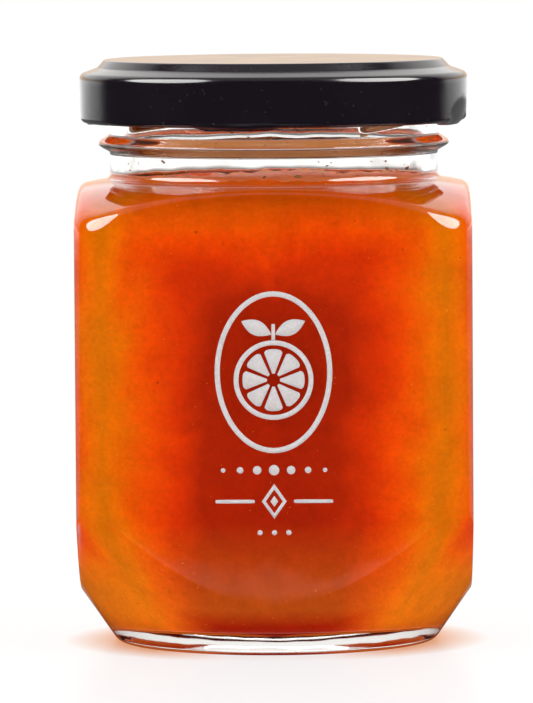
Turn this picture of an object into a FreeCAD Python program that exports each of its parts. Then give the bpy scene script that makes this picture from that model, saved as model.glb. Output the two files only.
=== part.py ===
import FreeCAD, Part
import math
import os

from FreeCAD import Vector

# A square preserving jar of clear glass with a black twist-off lid, filled with fruit compote.
# The origin is the middle of the foot on the standing plane, +Z is up and the printed face
# looks along -Y.  All lengths are millimetres and all angles degrees.

# ---- Glass: driving sizes ----
BODY_WIDTH = 61.2            # across the flats of the square body
CORNER_RADIUS = 7.4          # upright corners of the body
SHOULDER_HEIGHT = 72.8       # standing plane to the crest of the shoulder
SHOULDER_DROP = 5.2          # fall of the shoulder from its crest to the four corners
SHOULDER_INSET = 3.4         # the crest lies this far inside the neck
FOOT_RADIUS = 25.8           # round foot that the jar stands on
HEEL_RADIUS = 1.9            # rounding of the foot
HEEL_FLARE = 34.8            # the lower body widens at this angle from upright
PUSH_UP = 2.6                # height of the hollow under the base
FINISH_HEIGHT = 18.1         # shoulder crest to the sealing rim
NECK_RADIUS = 25.7           # neck below the bead
FINISH_STEP = 0.3            # the neck is this much stouter above the bead
BEAD_REACH = 1.6             # the bead stands this far out of the neck
BEAD_HEIGHT = 2.6
BEAD_TIP = 0.45              # its tip lies at this share of its height
BEAD_RISE = 4.0              # shoulder crest to the underside of the bead
THREAD_REACH = 2.2           # the thread lugs stand this far out of the neck
THREAD_HEIGHT = 2.4
THREAD_PITCH_ANGLE = 7.0     # slope of each thread lug
THREAD_SPAN = 68.0           # turn taken up by each thread lug
THREAD_COUNT = 4
THREAD_END_REACH = 0.12      # share of its reach that a lug keeps where it fades out
THREAD_END_HEIGHT = 0.47     # share of its height that it keeps there
BODY_WALL = 2.4
NECK_WALL = 2.5
BASE_THICKNESS = 4.4         # glass under the compote

# ---- Glass: roundings ----
SHOULDER_EDGE = 2.0          # between the flat faces and the shoulder
HEEL_EDGE = 1.0              # between the flat faces and the flared heel
NECK_FOOT = 1.3              # hollow rounding where the neck leaves the shoulder
BORE_FOOT = 2.5              # rounding where the bore opens into the body
RIM_EDGE = 1.0               # both edges of the sealing rim
FLOOR_EDGE = 4.0             # inside corner between the floor and the heel
PUSH_UP_EDGE = 2.0           # flat width of the ring round the hollow
PAD_COUNT = 4                # low places of that ring, which the glass stands on
PAD_TURN = 10.0              # turn taken up by each of them
PAD_HEIGHT = 0.05            # the rest of the ring clears the table by this much

# ---- Lid: driving sizes ----
SHEET = 0.3                  # lacquered tinplate
LID_GAP = 1.9                # between the thread lugs and the skirt
LID_HEIGHT = 10.2            # from the underside of the lugs to the panel
PANEL_EDGE_INSET = 3.9       # raised panel, measured in from the outside of the skirt
PANEL_STEP = 1.25            # fall from the panel to the foot of the step
PANEL_STEP_RUN = 1.1         # width of that step
SHOULDER_FALL = 1.0          # slope of the lid's shoulder from the step to the skirt
LID_SHOULDER_EDGE = 0.9
PANEL_SAG = 0.25             # the vacuum draws the panel down by this much
PANEL_RIM = 3.0              # flat ring of the panel that lies on the glass rim
PRESS_EDGE = 0.6             # pressed corners of the panel and the step
CURL_RADIUS = 0.7            # rolled edge of the skirt
CURL_TURN = 250.0            # the edge is rolled inward through this turn
SKIRT_TAPER = 0.2            # the skirt is this much narrower at its curl
LUG_COUNT = 4
LUG_TURN = 26.0              # turn taken up by each lug
LUG_START = -24.0            # turn from the front face to the left end of the first lug
LUG_ENGAGEMENT = 1.2         # how far a lug reaches under its thread
LUG_HEIGHT = 1.1
LUG_DROP = 0.4               # the lugs reach this much lower than the curl between them
LUG_CLEARANCE = 0.1          # between a lug and the thread above it

# ---- Compote ----
FILL_BELOW_CREST = 0.6       # mean level below the crest of the shoulder
SURFACE_WAVES = (            # height, waves across, waves deep, phase turns across and deep
    (0.45, 0.50, 0.00, 0.25, 0.00),
    (0.30, 1.30, 0.70, 0.10, 0.35),
    (0.18, 2.40, 1.90, 0.60, 0.15),
)
SURFACE_POINTS = 15          # points along each side of the grid that carries the surface

# ---- Sizes that follow from them ----
HALF_WIDTH = BODY_WIDTH / 2
CORNER_REACH = (HALF_WIDTH - CORNER_RADIUS) * math.sqrt(2) + CORNER_RADIUS
CREST_RADIUS = NECK_RADIUS - SHOULDER_INSET
RIM_HEIGHT = SHOULDER_HEIGHT + FINISH_HEIGHT
FINISH_RADIUS = NECK_RADIUS + FINISH_STEP
BORE_RADIUS = FINISH_RADIUS - NECK_WALL
BEAD_BOTTOM = SHOULDER_HEIGHT + BEAD_RISE
THREAD_RADIUS = FINISH_RADIUS + THREAD_REACH
LID_RADIUS = THREAD_RADIUS + LID_GAP + SHEET
LID_TOP = RIM_HEIGHT + SHEET
LID_BOTTOM = LID_TOP - LID_HEIGHT
CURL_LINE = LID_RADIUS - SKIRT_TAPER - CURL_RADIUS
CURL_BOTTOM = LID_BOTTOM + LUG_DROP
FILL_LEVEL = SHOULDER_HEIGHT - FILL_BELOW_CREST
BEYOND = 3.0                 # cutting tools run past what they cut by this much
NEAR = 0.01                  # places closer than this count as the same
BOW = 1 - math.sqrt(0.5)     # middle of a quarter arc, in from both its tangents, in radii


# ---- Helpers ----
def at(radius, height):
    """A point of a turned profile: its distance from the axis and its height."""
    return Vector(radius, 0, height)


def line(start, end):
    return Part.LineSegment(start, end).toShape()


def arc(start, through, end):
    return Part.Arc(start, through, end).toShape()


def turned(edges):
    """Solid swept by a closed profile round the upright axis."""
    face = Part.Face(Part.Wire(Part.__sortEdges__(edges)))
    return face.revolve(Vector(0, 0, 0), Vector(0, 0, 1), 360)


def arc_about(centre, radius, start_angle, end_angle):
    """Profile arc about a centre; angles are measured from the outward level direction."""
    def point(angle):
        turn = math.radians(angle)
        return centre + Vector(radius * math.cos(turn), 0, radius * math.sin(turn))
    return point(start_angle), point((start_angle + end_angle) / 2), point(end_angle)


def rounded_corner(before, corner, after, radius):
    """Tangent arc of the given radius that rounds one corner of a profile."""
    incoming = (before - corner).normalize()
    outgoing = (after - corner).normalize()
    half_angle = incoming.getAngle(outgoing) / 2
    setback = radius / math.tan(half_angle)
    middle = (incoming + outgoing).normalize()
    centre = corner + middle * (radius / math.sin(half_angle))
    return corner + incoming * setback, centre - middle * radius, corner + outgoing * setback


def rounded_profile(points, radii):
    """Open chain of straight runs with rounded corners; a radius of 0 leaves a corner sharp."""
    edges = []
    cursor = points[0]
    for index in range(1, len(points) - 1):
        if radii[index] == 0:
            edges.append(line(cursor, points[index]))
            cursor = points[index]
            continue
        start, through, end = rounded_corner(
            points[index - 1], points[index], points[index + 1], radii[index])
        edges.append(line(cursor, start))
        edges.append(arc(start, through, end))
        cursor = end
    edges.append(line(cursor, points[-1]))
    return edges


def square_prism(inset, bottom, top):
    """Upright square column with rounded corners, smaller all round than the body by inset."""
    half = HALF_WIDTH - inset
    radius = CORNER_RADIUS - inset
    column = Part.makeBox(2 * half, 2 * half, top - bottom, Vector(-half, -half, bottom))
    uprights = [edge for edge in column.Edges if abs(edge.BoundBox.ZLength - (top - bottom)) < NEAR]
    return column.makeFillet(radius, uprights)


def shoulder_arc(inset):
    """Centre height and radius of the domed shoulder, smaller than the outside by inset."""
    run = CORNER_REACH - CREST_RADIUS
    radius = (run ** 2 + SHOULDER_DROP ** 2) / (2 * SHOULDER_DROP)
    return SHOULDER_HEIGHT - radius, radius - inset


def shoulder_height_at(radius, inset):
    centre_height, arc_radius = shoulder_arc(inset)
    return centre_height + math.sqrt(arc_radius ** 2 - (radius - CREST_RADIUS) ** 2)


def flare_radius_at(height, inset):
    """Distance of the flared heel from the axis at a height, moved inward by inset."""
    flare = math.radians(HEEL_FLARE)
    core = FOOT_RADIUS - HEEL_RADIUS
    start_radius = core + HEEL_RADIUS * math.cos(flare)
    start_height = HEEL_RADIUS * (1 - math.sin(flare))
    return start_radius + (height - start_height) * math.tan(flare) - inset / math.cos(flare)


# ---- The jar ----
def body_dome(inset, bottom_edges, bottom_end):
    """Turned solid from a given foot up the flared heel and over the domed shoulder.

    bottom_edges lead from the axis to bottom_end, where the straight heel begins.
    """
    reach = CORNER_REACH + BEYOND
    flare = math.radians(HEEL_FLARE)
    heel_top = bottom_end.z + (reach - bottom_end.x) / math.tan(flare)
    centre_height, radius = shoulder_arc(inset)
    shoulder_end = at(reach, shoulder_height_at(reach, inset))
    middle_run = (reach + CREST_RADIUS) / 2
    shoulder_middle = at(middle_run, shoulder_height_at(middle_run, inset))
    crest = at(CREST_RADIUS, centre_height + radius)
    edges = list(bottom_edges)
    edges.append(line(bottom_end, at(reach, heel_top)))
    edges.append(line(at(reach, heel_top), shoulder_end))
    edges.append(arc(shoulder_end, shoulder_middle, crest))
    edges.append(line(crest, at(0, crest.z)))
    edges.append(line(at(0, crest.z), at(0, bottom_edges[0].Vertexes[0].Point.z)))
    return turned(edges)


def outer_foot():
    """Hollow under the base, the ring it stands on and the rounded heel.

    Halfway out the shallow hollow still has three quarters of its height, as a parabola does.
    """
    core = FOOT_RADIUS - HEEL_RADIUS
    ring_inner = core - PUSH_UP_EDGE
    edges = [
        arc(at(0, PUSH_UP), at(ring_inner / 2, PUSH_UP * 3 / 4), at(ring_inner, 0)),
        line(at(ring_inner, 0), at(core, 0)),
    ]
    heel_centre = at(core, HEEL_RADIUS)
    start, through, end = arc_about(heel_centre, HEEL_RADIUS, -90, -HEEL_FLARE)
    edges.append(arc(start, through, end))
    return edges, end


def outer_body():
    """Square column cut to a dome above and to a flared round heel below."""
    edges, end = outer_foot()
    dome = body_dome(0, edges, end)
    body = dome.common(square_prism(0, -BEYOND, SHOULDER_HEIGHT + BEYOND))
    flats = HALF_WIDTH - NEAR
    middle = SHOULDER_HEIGHT / 2

    def round_the_flats(edge):
        box = edge.BoundBox
        outside = max(abs(box.XMin), abs(box.XMax), abs(box.YMin), abs(box.YMax)) > flats
        corner = math.hypot(edge.CenterOfMass.x, edge.CenterOfMass.y) > flats
        level = box.ZLength < middle / 2
        return (outside or corner) and level

    top = [edge for edge in body.Edges if round_the_flats(edge) and edge.CenterOfMass.z > middle]
    body = body.makeFillet(SHOULDER_EDGE, top)
    low = [edge for edge in body.Edges if round_the_flats(edge) and edge.CenterOfMass.z < middle]
    return body.makeFillet(HEEL_EDGE, low)


def ring_relief():
    """Thin slices of air under the standing ring, between the pads at its corners."""
    core = FOOT_RADIUS - HEEL_RADIUS
    inner = core - 2 * PUSH_UP_EDGE
    outer = core + HEEL_RADIUS
    corners = [at(inner, -BEYOND), at(outer, -BEYOND), at(outer, PAD_HEIGHT), at(inner, PAD_HEIGHT)]
    slice_face = Part.Face(Part.makePolygon(corners + corners[:1]))
    step = 360 / PAD_COUNT
    slices = []
    for index in range(PAD_COUNT):
        strip = slice_face.revolve(Vector(0, 0, 0), Vector(0, 0, 1), step - PAD_TURN)
        strip.rotate(Vector(0, 0, 0), Vector(0, 0, 1), (index + 0.5) * step + PAD_TURN / 2)
        slices.append(strip)
    return slices


def outer_neck():
    """Neck with its hollow foot, the bead under the lid and the rounded sealing rim."""
    foot = at(NECK_RADIUS, shoulder_height_at(NECK_RADIUS, 0))
    reach = foot.x + NECK_FOOT
    start = at(reach, shoulder_height_at(reach, 0))
    end = at(NECK_RADIUS, foot.z + NECK_FOOT)
    through = at(NECK_RADIUS + NECK_FOOT * BOW, foot.z + NECK_FOOT * BOW)
    bead_low = at(NECK_RADIUS, BEAD_BOTTOM)
    bead_tip = at(NECK_RADIUS + BEAD_REACH, BEAD_BOTTOM + BEAD_HEIGHT * BEAD_TIP)
    bead_high = at(FINISH_RADIUS, BEAD_BOTTOM + BEAD_HEIGHT)
    rim_outside = at(FINISH_RADIUS, RIM_HEIGHT)
    rim_start, rim_through, rim_end = rounded_corner(
        bead_high, rim_outside, at(0, RIM_HEIGHT), RIM_EDGE)
    root = SHOULDER_HEIGHT - SHOULDER_DROP
    edges = [
        line(at(0, root), at(reach, root)),
        line(at(reach, root), start),
        arc(start, through, end),
        line(end, bead_low),
        arc(bead_low, bead_tip, bead_high),
        line(bead_high, rim_start),
        arc(rim_start, rim_through, rim_end),
        line(rim_end, at(0, RIM_HEIGHT)),
        line(at(0, RIM_HEIGHT), at(0, root)),
    ]
    return turned(edges)


def thread_section(turn, height, size):
    """Rounded wedge across a thread lug, drawn at one turn; size is 1 in full and 0 at the ends.

    Its root lies a third of the wall deep, so that the lug grows out of the glass.
    """
    root = FINISH_RADIUS - NECK_WALL / 3
    crest = FINISH_RADIUS + THREAD_REACH * (THREAD_END_REACH + (1 - THREAD_END_REACH) * size)
    half = THREAD_HEIGHT / 2 * (THREAD_END_HEIGHT + (1 - THREAD_END_HEIGHT) * size)
    angle = math.radians(turn)

    def point(radius, rise):
        return Vector(radius * math.sin(angle), -radius * math.cos(angle), height + rise)

    low = point(root, -half)
    high = point(root, half)
    flank_low = point(FINISH_RADIUS, -half)
    flank_high = point(FINISH_RADIUS, half)
    edges = [
        line(low, flank_low),
        arc(flank_low, point(crest, 0), flank_high),
        line(flank_high, high),
        line(high, low),
    ]
    return Part.Wire(edges)


def thread_lug(first_turn, low_height):
    """One raised stretch of thread that climbs to the right and fades out at both ends."""
    stations = 9
    climb = THREAD_RADIUS * math.radians(THREAD_SPAN) * math.tan(math.radians(THREAD_PITCH_ANGLE))
    sections = []
    for index in range(stations):
        share = index / (stations - 1)
        size = math.sin(math.pi * share) ** 0.5
        turn = first_turn + THREAD_SPAN * share
        sections.append(thread_section(turn, low_height + climb * share, size))
    return Part.makeLoft(sections, True, False)


def thread():
    """Four thread lugs, each lying just over the lid lug that pulls on it."""
    lead = THREAD_SPAN / 2
    rise_to_lug = THREAD_RADIUS * math.radians(lead) * math.tan(math.radians(THREAD_PITCH_ANGLE))
    above_lug = LID_BOTTOM + LUG_HEIGHT + LUG_CLEARANCE + THREAD_HEIGHT / 2
    lugs = []
    for index in range(THREAD_COUNT):
        turn = LUG_START - lead + index * 360 / THREAD_COUNT
        lugs.append(thread_lug(turn, above_lug - rise_to_lug))
    return lugs


def cavity():
    """Room inside the glass: flared heel, square body, domed shoulder and round bore."""
    flare = math.radians(HEEL_FLARE)
    floor = BASE_THICKNESS
    heel_corner = at(flare_radius_at(floor, BODY_WALL), floor)
    heel_next = heel_corner + Vector(math.sin(flare), 0, math.cos(flare)) * FLOOR_EDGE
    start, through, end = rounded_corner(at(0, floor), heel_corner, heel_next, FLOOR_EDGE)
    edges = [line(at(0, floor), start), arc(start, through, end)]
    dome = body_dome(BODY_WALL, edges, end)
    room = dome.common(square_prism(BODY_WALL, -BEYOND, SHOULDER_HEIGHT + BEYOND))
    reach = BORE_RADIUS + BORE_FOOT
    bore_start = at(reach, shoulder_height_at(reach, BODY_WALL))
    under = shoulder_height_at(BORE_RADIUS, BODY_WALL)
    bore_end = at(BORE_RADIUS, under + BORE_FOOT)
    bore_through = at(BORE_RADIUS + BORE_FOOT * BOW, under + BORE_FOOT * BOW)
    root = SHOULDER_HEIGHT - 2 * SHOULDER_DROP
    bore = turned([
        line(at(0, root), at(reach, root)),
        line(at(reach, root), bore_start),
        arc(bore_start, bore_through, bore_end),
        line(bore_end, at(BORE_RADIUS, RIM_HEIGHT)),
        line(at(BORE_RADIUS, RIM_HEIGHT), at(0, RIM_HEIGHT)),
        line(at(0, RIM_HEIGHT), at(0, root)),
    ])
    return room.fuse(bore).removeSplitter()


def rim_mouth():
    """Ring that rounds the inner edge of the sealing rim when it is cut away."""
    corner = at(BORE_RADIUS, RIM_HEIGHT)
    start, through, end = rounded_corner(
        at(BORE_RADIUS, SHOULDER_HEIGHT), corner, at(FINISH_RADIUS, RIM_HEIGHT), RIM_EDGE)
    return turned([
        arc(start, through, end),
        line(end, at(end.x, RIM_HEIGHT + BEYOND)),
        line(at(end.x, RIM_HEIGHT + BEYOND), at(BORE_RADIUS - BEYOND, RIM_HEIGHT + BEYOND)),
        line(at(BORE_RADIUS - BEYOND, RIM_HEIGHT + BEYOND), at(BORE_RADIUS - BEYOND, start.z)),
        line(at(BORE_RADIUS - BEYOND, start.z), start),
    ])


def jar(room):
    glass = outer_body().fuse([outer_neck()] + thread()).removeSplitter()
    return glass.cut([room, rim_mouth()] + ring_relief())


# ---- The lid ----
def lid_shell():
    """Pressed sheet of one thickness: sagging panel, step, sloping shoulder, skirt and open curl."""
    panel_edge = LID_RADIUS - PANEL_EDGE_INSET
    step_foot = panel_edge + PANEL_STEP_RUN
    shoulder_top = LID_TOP - PANEL_STEP
    skirt_top = shoulder_top - SHOULDER_FALL
    sag_edge = panel_edge - PANEL_RIM
    curl_centre = at(CURL_LINE, CURL_BOTTOM + CURL_RADIUS)
    curl_start, curl_through, curl_end = arc_about(curl_centre, CURL_RADIUS, 0, -CURL_TURN)
    points = [
        at(sag_edge, LID_TOP),
        at(panel_edge, LID_TOP),
        at(step_foot, shoulder_top),
        at(LID_RADIUS, skirt_top),
        curl_start,
    ]
    edges = [arc(at(-sag_edge, LID_TOP), at(0, LID_TOP - PANEL_SAG), points[0])]
    edges += rounded_profile(points, [0, PRESS_EDGE, PRESS_EDGE, LID_SHOULDER_EDGE, 0])
    edges.append(arc(curl_start, curl_through, curl_end))
    outside = Part.Wire(edges)
    sheet = outside.makeOffset2D(-SHEET, 0, True, True)
    if sheet.BoundBox.ZMax > LID_TOP + SHEET / 2:
        sheet = outside.makeOffset2D(SHEET, 0, True, True)
    outward_half = Part.Face(Part.makePolygon([
        at(0, 0), at(2 * LID_RADIUS, 0), at(2 * LID_RADIUS, 2 * LID_TOP), at(0, 2 * LID_TOP), at(0, 0)]))
    section = sheet.common(outward_half).Faces[0]
    return section.revolve(Vector(0, 0, 0), Vector(0, 0, 1), 360)


def lid_lug(first_turn):
    """Flattened stretch of the curl, pressed down and inward to hook under a thread lug."""
    inner = THREAD_RADIUS - LUG_ENGAGEMENT
    outer = CURL_LINE + CURL_RADIUS - SHEET / 2
    low = LID_BOTTOM
    high = LID_BOTTOM + LUG_HEIGHT
    half = LUG_HEIGHT / 2
    edges = [
        arc(at(inner + half, low), at(inner, low + half), at(inner + half, high)),
        line(at(inner + half, high), at(outer, high)),
        line(at(outer, high), at(outer, CURL_BOTTOM + half)),
        line(at(outer, CURL_BOTTOM + half), at(CURL_LINE, low)),
        line(at(CURL_LINE, low), at(inner + half, low)),
    ]
    lug = Part.Face(Part.Wire(edges)).revolve(Vector(0, 0, 0), Vector(0, 0, 1), LUG_TURN)
    lug.rotate(Vector(0, 0, 0), Vector(0, 0, 1), first_turn - 90)
    return lug


def lid():
    lugs = [lid_lug(LUG_START + index * 360 / LUG_COUNT) for index in range(LUG_COUNT)]
    return lid_shell().fuse(lugs)


# ---- The compote ----
def surface_height(across, deep, span):
    """Level of the compote plus a few long waves; across and deep run over one span."""
    height = FILL_LEVEL
    for rise, waves_across, waves_deep, phase_across, phase_deep in SURFACE_WAVES:
        height += (rise * math.cos(2 * math.pi * (waves_across * across / span + phase_across))
                   * math.cos(2 * math.pi * (waves_deep * deep / span + phase_deep)))
    return height


def air_space():
    """Everything above the uneven surface of the compote."""
    span = BODY_WIDTH
    grid = []
    for row in range(SURFACE_POINTS):
        deep = span * (row / (SURFACE_POINTS - 1) - 0.5)
        grid.append([
            Vector(across, deep, surface_height(across, deep, span))
            for across in (span * (column / (SURFACE_POINTS - 1) - 0.5)
                           for column in range(SURFACE_POINTS))
        ])
    surface = Part.BSplineSurface()
    surface.interpolate(grid)
    return surface.toShape().extrude(Vector(0, 0, RIM_HEIGHT))


def compote(room):
    return room.cut(air_space())


def main():
    os.makedirs("parts", exist_ok=True)
    room = cavity()
    pieces = {"jar": jar(room), "lid": lid(), "compote": compote(room)}
    for name, shape in pieces.items():
        solid = shape.Solids[0]
        solid.exportStep("parts/" + name + ".step")
        print(name, len(shape.Solids), "solid", shape.isValid(), round(solid.Volume / 1000, 2), "cm3",
              [round(value, 2) for value in (solid.BoundBox.XLength, solid.BoundBox.YLength,
                                             solid.BoundBox.ZMin, solid.BoundBox.ZMax)])


main()
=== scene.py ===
import bpy
import numpy as np
from mathutils import Matrix, Vector


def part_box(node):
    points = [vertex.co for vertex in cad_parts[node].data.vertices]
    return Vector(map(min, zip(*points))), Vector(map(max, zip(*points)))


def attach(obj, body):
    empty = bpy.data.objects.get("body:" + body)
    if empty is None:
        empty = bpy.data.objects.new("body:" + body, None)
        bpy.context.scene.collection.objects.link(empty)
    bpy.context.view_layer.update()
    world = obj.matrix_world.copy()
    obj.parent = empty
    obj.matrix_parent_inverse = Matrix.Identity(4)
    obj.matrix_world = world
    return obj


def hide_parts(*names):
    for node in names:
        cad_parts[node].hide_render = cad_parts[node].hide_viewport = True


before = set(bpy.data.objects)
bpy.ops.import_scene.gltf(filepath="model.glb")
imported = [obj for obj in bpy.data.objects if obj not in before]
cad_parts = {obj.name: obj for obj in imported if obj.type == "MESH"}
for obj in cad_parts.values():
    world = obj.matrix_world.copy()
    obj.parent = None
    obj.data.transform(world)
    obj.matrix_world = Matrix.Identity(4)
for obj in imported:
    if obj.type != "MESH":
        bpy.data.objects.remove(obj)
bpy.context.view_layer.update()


# ---- The glass jar ----
# A pressed and blown square jar of clear soda-lime glass: round foot, flared heel, flat panels,
# domed shoulder, and a round finish with a bead and four thread lugs under the lid.
jar_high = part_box("jar")[1]
half_width = jar_high.x
rim_height = jar_high.z
corner_radius = 0.0074
shoulder_height = 0.0728
shoulder_drop = 0.0052
foot_radius = 0.0258
heel_radius = 0.0019
heel_flare = np.radians(34.8)
push_up = 0.0026
standing_ring = 0.0020
neck_radius = 0.0257
crest_radius = neck_radius - 0.0034
finish_radius = neck_radius + 0.0003
bore_radius = finish_radius - 0.0025
bead_bottom = shoulder_height + 0.0040
bead_height = 0.0026
bead_reach = 0.0016
bead_roundness = 1.3
thread_reach = 0.0022
thread_height = 0.0024
thread_climb = np.tan(np.radians(7.0))
thread_span = np.radians(68.0)
first_thread = np.radians(-58.0)
lid_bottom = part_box("lid")[0].z
thread_above_lid_edge = 0.0012
thread_low = (lid_bottom + thread_above_lid_edge + thread_height / 2
              - (finish_radius + thread_reach) * thread_span / 2 * thread_climb)
wall = 0.0024
floor_height = 0.0044
floor_edge = 0.0045
inner_corner_radius = 0.0084
shoulder_edge = 0.0014
shoulder_corner_edge = 0.0040
shoulder_edge_growth = 1.5
heel_edge = 0.0012
inner_shoulder_edge = 0.0032
inner_heel_edge = 0.0045
inner_heel_corner_edge = 0.0280
inner_heel_drift = 0.0120
neck_foot = 0.0013
neck_foot_drift = 0.0009
bore_foot = 0.0014
rim_edge = 0.0010
pole_share = 0.04


def rounded_square_angles(flat_steps, corner_steps):
    """Turns round the axis, evenly spread along the flats and along the corners of a rounded square.

    One side is worked out as points on its flat and on its corner arc; the other three repeat it
    at quarter turns. Turn 0 points along +X.
    """
    straight = half_width - corner_radius
    along = np.linspace(-straight, straight, flat_steps, endpoint=False)
    flat_turns = np.arctan2(along, half_width)
    bend = np.linspace(0, np.pi / 2, corner_steps, endpoint=False)
    corner_turns = np.arctan2(straight + corner_radius * np.sin(bend),
                              straight + corner_radius * np.cos(bend))
    side = np.concatenate([flat_turns, corner_turns])
    return np.concatenate([side + quarter * np.pi / 2 for quarter in range(4)])


def square_radius(turns, half, corner):
    """Distance from the axis to a rounded square: half / cos(turn) on the flats, and on the corners the
    far crossing of the ray with the corner circle."""
    folded = np.abs((turns + np.pi / 4) % (np.pi / 2) - np.pi / 4)
    straight = half - corner
    along = straight * (np.cos(folded) + np.sin(folded))
    inside = np.maximum(along ** 2 - 2 * straight ** 2 + corner ** 2, 0)
    on_flat = half * np.tan(folded) <= straight
    return np.where(on_flat, half / np.cos(folded), along + np.sqrt(inside))


def run(start, end, count):
    """Rows of a straight run of a profile: a blend of its two ends, without the last."""
    share = np.linspace(0, 1, count, endpoint=False)[:, None]
    return start[0] + (end[0] - start[0]) * share, start[1] + (end[1] - start[1]) * share


def bend(centre, radius, first, last, count):
    """Rows of an arc of a profile: centre plus radius at turns from first to last, without the last."""
    share = np.linspace(0, 1, count, endpoint=False)[:, None]
    turn = first + (last - first) * share
    return centre[0] + radius * np.cos(turn), centre[1] + radius * np.sin(turn)


corner_reach = (half_width - corner_radius) * np.sqrt(2) + corner_radius


def dome(inset):
    """Centre height and radius of the domed shoulder; its centre stands crest_radius off the axis."""
    reach = corner_reach - crest_radius
    radius = (reach ** 2 + shoulder_drop ** 2) / (2 * shoulder_drop)
    return shoulder_height - radius, radius - inset


def body_rows(turns, inset, corner, low_edge, high_edge, start, steps):
    """Rows up the flared heel, the square wall and the domed shoulder at one depth inside the glass.

    Each column is a half-plane through the axis. The heel is a straight run that leans out by
    heel_flare, the wall an upright run at the rounded square's radius, the shoulder an arc; fillets
    of low_edge and high_edge are arcs tangent to both neighbours.
    """
    side = square_radius(turns, half_width - inset, corner)
    corner_height = start[1] + (side - start[0]) / np.tan(heel_flare)
    setback = low_edge * np.tan(heel_flare / 2)
    low_centre = (side - low_edge, corner_height + setback)
    heel_end = (side - setback * np.sin(heel_flare), corner_height - setback * np.cos(heel_flare))
    centre_height, radius = dome(inset)
    reach = side - high_edge - crest_radius
    high_centre = (side - high_edge, centre_height + np.sqrt((radius - high_edge) ** 2 - reach ** 2))
    slope = np.arctan2(high_centre[1] - centre_height, reach)
    rows = [
        run(start, heel_end, steps[0]),
        bend(low_centre, low_edge, -heel_flare, 0 * side, steps[1]),
        run((side, low_centre[1]), (side, high_centre[1]), steps[2]),
        bend(high_centre, high_edge, 0 * side, slope, steps[3]),
    ]
    return rows, slope, (crest_radius, centre_height, radius)


def heel_start(inset):
    """Where the straight heel leaves the foot, moved inward along the heel's own normal."""
    core = foot_radius - heel_radius
    radius = core + heel_radius * np.cos(heel_flare) - inset * np.cos(heel_flare)
    height = heel_radius * (1 - np.sin(heel_flare)) + inset * np.sin(heel_flare)
    return radius, height


def stack(rows, columns):
    """Joins row groups into one grid of radii and one of heights."""
    radii = np.concatenate([np.broadcast_to(group[0], (group[0].shape[0], columns)) for group in rows])
    heights = np.concatenate([np.broadcast_to(group[1], (group[1].shape[0], columns)) for group in rows])
    return radii, heights


def turned_surface(name, turns, radii, heights, painted=None):
    """Closed mesh of a grid of radii and heights over turns, with one point at each pole.

    painted gives the number of the material between each row and the next.
    """
    rows, columns = radii.shape
    points = np.stack([radii * np.cos(turns), radii * np.sin(turns), heights], axis=-1).reshape(-1, 3)
    poles = np.array([[0, 0, heights[0].mean()], [0, 0, heights[-1].mean()]])
    points = np.concatenate([points, poles])
    row = np.arange(rows - 1)[:, None] * columns
    here = np.arange(columns)[None, :]
    after = (here + 1) % columns
    quads = np.stack([row + here, row + after, row + columns + after, row + columns + here], axis=-1)
    first = rows * columns
    low = np.stack([np.full(columns, first), after[0], here[0]], axis=-1)
    last_row = (rows - 1) * columns
    high = np.stack([np.full(columns, first + 1), last_row + here[0], last_row + after[0]], axis=-1)
    piece = mesh_object(name, points, [quads.reshape(-1, 4), low, high])
    if painted is not None:
        slots = np.concatenate([np.repeat(painted, columns),
                                np.full(columns, painted[0]), np.full(columns, painted[-1])])
        piece.data.polygons.foreach_set("material_index", slots.astype(np.int32))
    return piece


def mesh_object(name, points, face_groups):
    """Smooth-shaded object from an array of points and arrays of faces."""
    mesh = bpy.data.meshes.new(name)
    sizes = np.concatenate([np.full(len(group), group.shape[1]) for group in face_groups])
    corners = np.concatenate([group.reshape(-1) for group in face_groups])
    mesh.vertices.add(len(points))
    mesh.vertices.foreach_set("co", np.asarray(points, np.float32).reshape(-1))
    mesh.loops.add(len(corners))
    mesh.loops.foreach_set("vertex_index", corners.astype(np.int32))
    mesh.polygons.add(len(sizes))
    mesh.polygons.foreach_set("loop_start", (np.cumsum(sizes) - sizes).astype(np.int32))
    mesh.polygons.foreach_set("use_smooth", np.ones(len(sizes), bool))
    mesh.update(calc_edges=True)
    mesh.validate()
    piece = bpy.data.objects.new(name, mesh)
    bpy.context.scene.collection.objects.link(piece)
    return piece


def thread_relief(turns, heights):
    """Height of the four thread lugs above the finish.

    Across a lug it is a raised cosine, along it the square root of half a sine wave, which fades
    both ends, and its middle line climbs with the turn. Turn 0 of the thread is the front of the
    jar, which is turn -90 degrees here.
    """
    relief = np.zeros(np.broadcast(turns, heights).shape)
    for quarter in range(4):
        start = first_thread - np.pi / 2 + quarter * np.pi / 2
        along = (turns - start) % (2 * np.pi)
        share = along / thread_span
        fade = np.where(share < 1, np.sin(np.pi * np.clip(share, 0, 1)) ** 0.5, 0)
        middle = thread_low + along * (finish_radius + thread_reach) * thread_climb
        across = np.clip(np.abs(heights - middle) / (thread_height * 0.5), 0, 1)
        relief = np.maximum(relief, fade * (0.5 + 0.5 * np.cos(np.pi * across)))
    return relief * thread_reach


turns = rounded_square_angles(44, 18)
columns = len(turns)
ring_inner = foot_radius - heel_radius - standing_ring
core = foot_radius - heel_radius

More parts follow.
